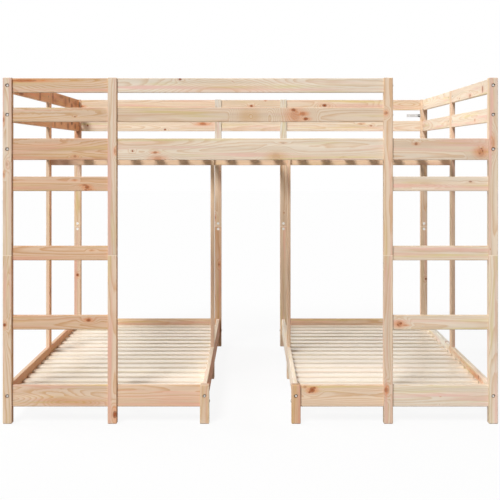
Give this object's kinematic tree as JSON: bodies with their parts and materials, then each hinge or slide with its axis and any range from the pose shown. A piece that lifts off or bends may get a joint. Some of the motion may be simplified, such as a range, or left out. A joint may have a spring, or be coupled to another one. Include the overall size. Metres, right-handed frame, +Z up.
{
  "type": "triple bunk bed",
  "caption": "Pine bunk bed with two single berths side by side at floor level under one square upper berth with guard rails, ladder rungs at both front corners and an open entry.",
  "frame": {"origin": "on the floor, under the middle of the frame", "axes": "+Z up, the front with the entry faces -Y, +X to the right seen from the front"},
  "size_m": [2.055, 2.055, 1.437],
  "materials": {
    "pine": "planed and sanded solid pine, unfinished",
    "slat_pine": "planed pine slats, unfinished",
    "batten_pine": "sawn pine, unfinished",
    "dowel_wood": "turned beech",
    "hardware": "zinc plated steel",
    "bracket_steel": "pale plated steel strip"
  },
  "bodies": {
    "root": {"front_left_post_lower": "pine", "front_left_post_upper": "pine", "front_right_post_lower": "pine", "front_right_post_upper": "pine", "back_left_post_lower": "pine", "back_left_post_upper": "pine", "back_right_post_lower": "pine", "back_right_post_upper": "pine", "left_stile_lower": "pine", "left_stile_upper": "pine", "right_stile_lower": "pine", "right_stile_upper": "pine", "back_inner_left_post_lower": "pine", "back_inner_left_post_upper": "pine", "back_inner_right_post_lower": "pine", "back_inner_right_post_upper": "pine", "left_front_leg": "pine", "right_front_leg": "pine", "left_mid_upright": "pine", "right_mid_upright": "pine", "left_inner_upright": "pine", "right_inner_upright": "pine", "front_top_rail_left": "pine", "front_top_rail_centre": "pine", "front_second_rail_left": "pine", "front_second_rail_centre": "pine", "front_main_rail_left": "pine", "front_main_rail_centre": "pine", "front_main_rail_right": "pine", "left_rungs": "pine", "right_rungs": "pine", "left_berth_front_rails": "pine", "right_berth_front_rails": "pine", "back_top_rails": "pine", "back_second_rails": "pine", "back_main_rails": "pine", "berth_back_rails": "pine", "left_top_rails": "pine", "left_second_rails": "pine", "left_main_rails": "pine", "left_lower_rails": "pine", "right_top_rails": "pine", "right_second_rails": "pine", "right_main_rails": "pine", "right_lower_rails": "pine", "left_inner_rails": "pine", "right_inner_rails": "pine", "mid_beam": "pine", "upper_slats": "slat_pine", "left_slats": "slat_pine", "right_slats": "slat_pine", "upper_battens": "batten_pine", "lower_battens": "batten_pine", "frame_bolts": "hardware", "frame_studs": "hardware", "barrel_nuts": "hardware", "frame_screws": "hardware", "dowels": "dowel_wood", "small_screws": "hardware", "wall_bracket": "bracket_steel"}
  },
  "joints": []
}
